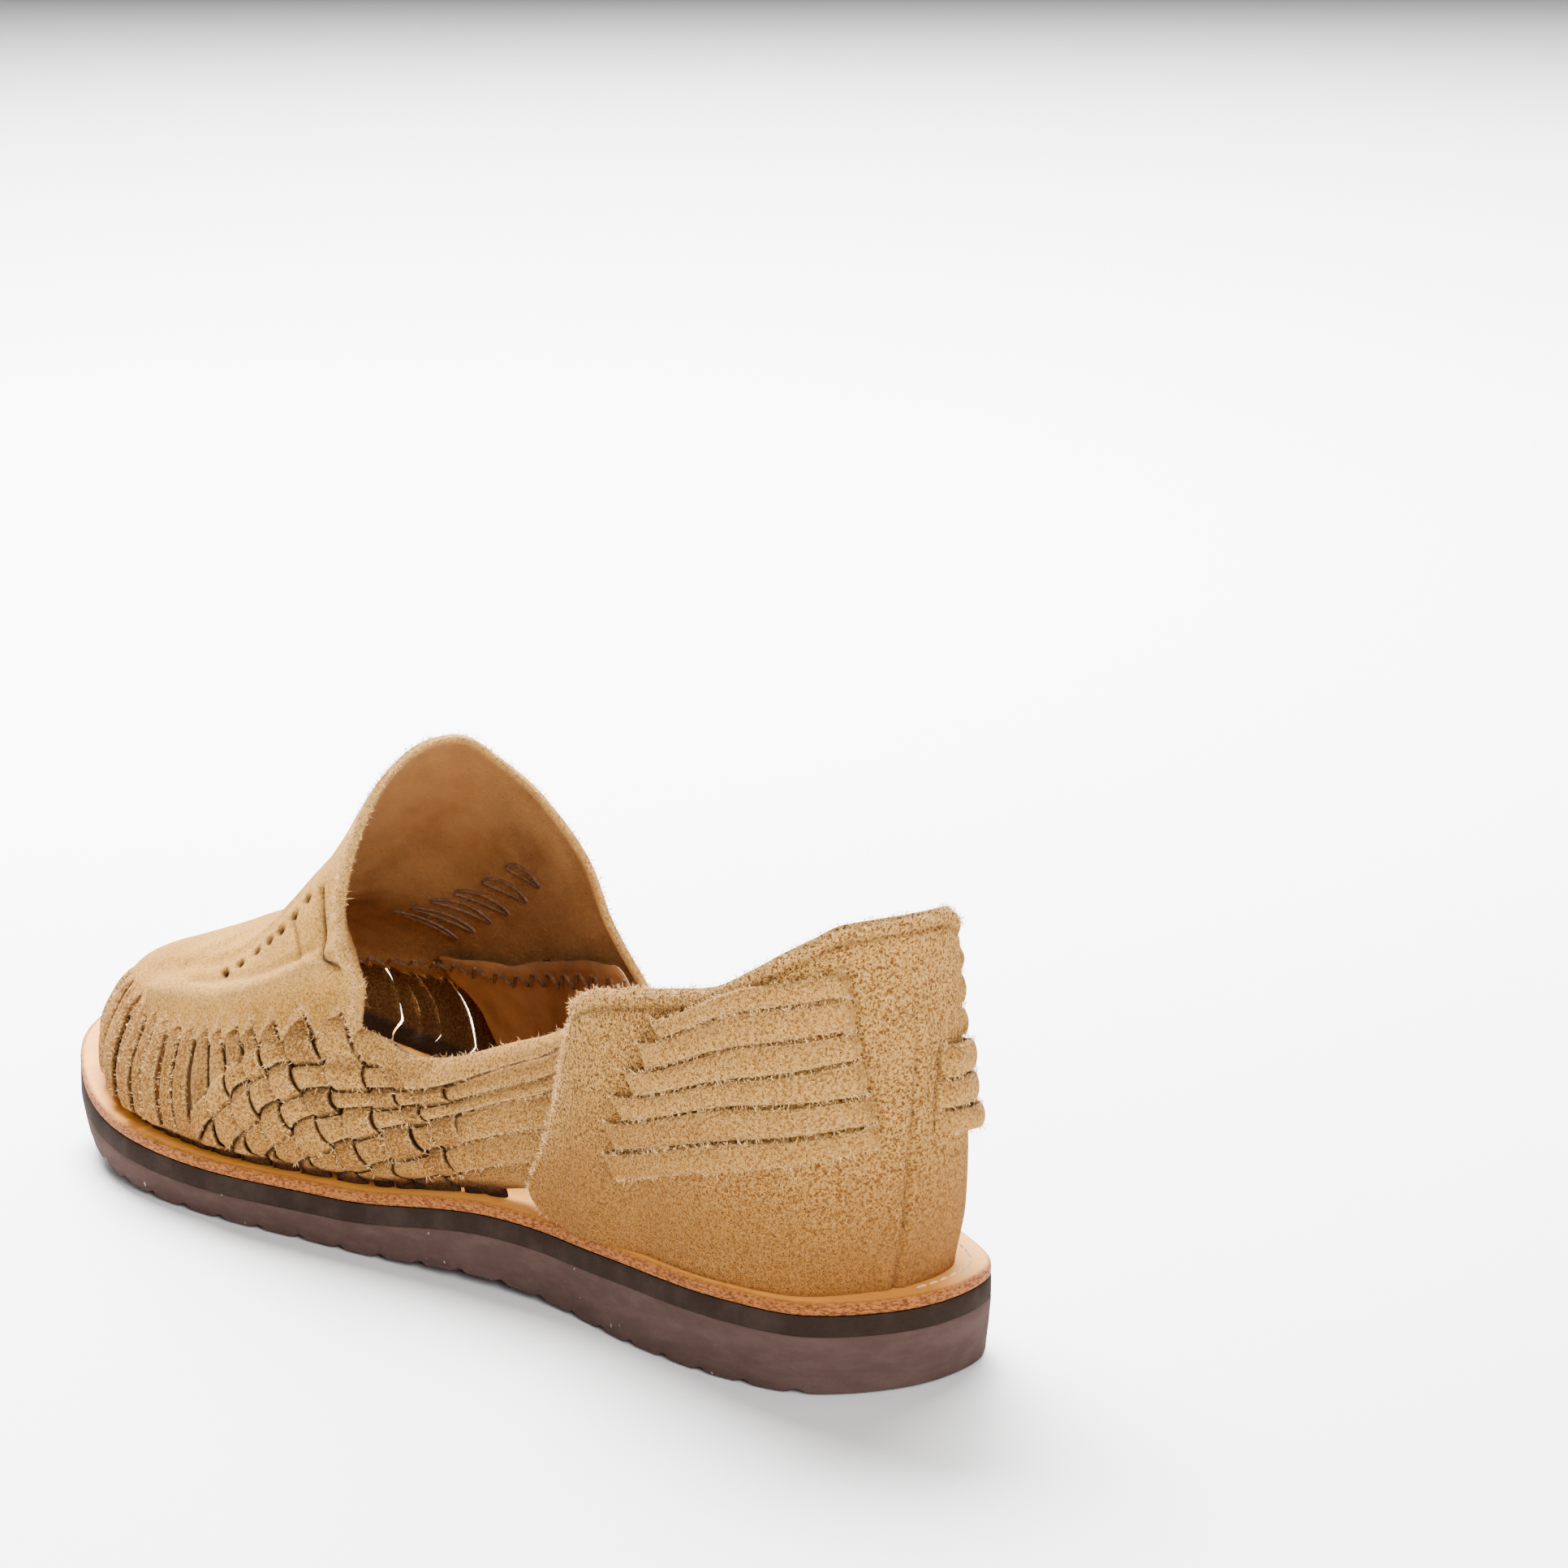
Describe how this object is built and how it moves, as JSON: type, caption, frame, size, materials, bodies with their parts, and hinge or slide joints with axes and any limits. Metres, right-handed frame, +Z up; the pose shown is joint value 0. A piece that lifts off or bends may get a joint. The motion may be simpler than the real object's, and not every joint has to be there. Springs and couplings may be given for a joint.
{
  "type": "woven leather sandal",
  "caption": "Left huarache sandal with a closed woven toe, a standing tongue, side straps slotted through a tall heel counter, and a layered rubber sole.",
  "frame": {"origin": "on the floor, under the middle of the sandal's bounding box", "axes": "+Z up, +Y towards the heel, so the toe points to -Y, and +X to the outer side of this left shoe"},
  "size_m": [0.0972, 0.29, 0.1058],
  "materials": {
    "outsole": "matt, mauve brown with pale specks",
    "midsole": "matt, near black",
    "footbed": "smooth peach leather with a cut edge",
    "upper": "sand suede",
    "heel_counter": "sand suede, browner below"
  },
  "bodies": {
    "root": {"outsole": "outsole", "midsole": "midsole", "footbed": "footbed", "upper": "upper", "heel_counter": "heel_counter"}
  },
  "joints": []
}
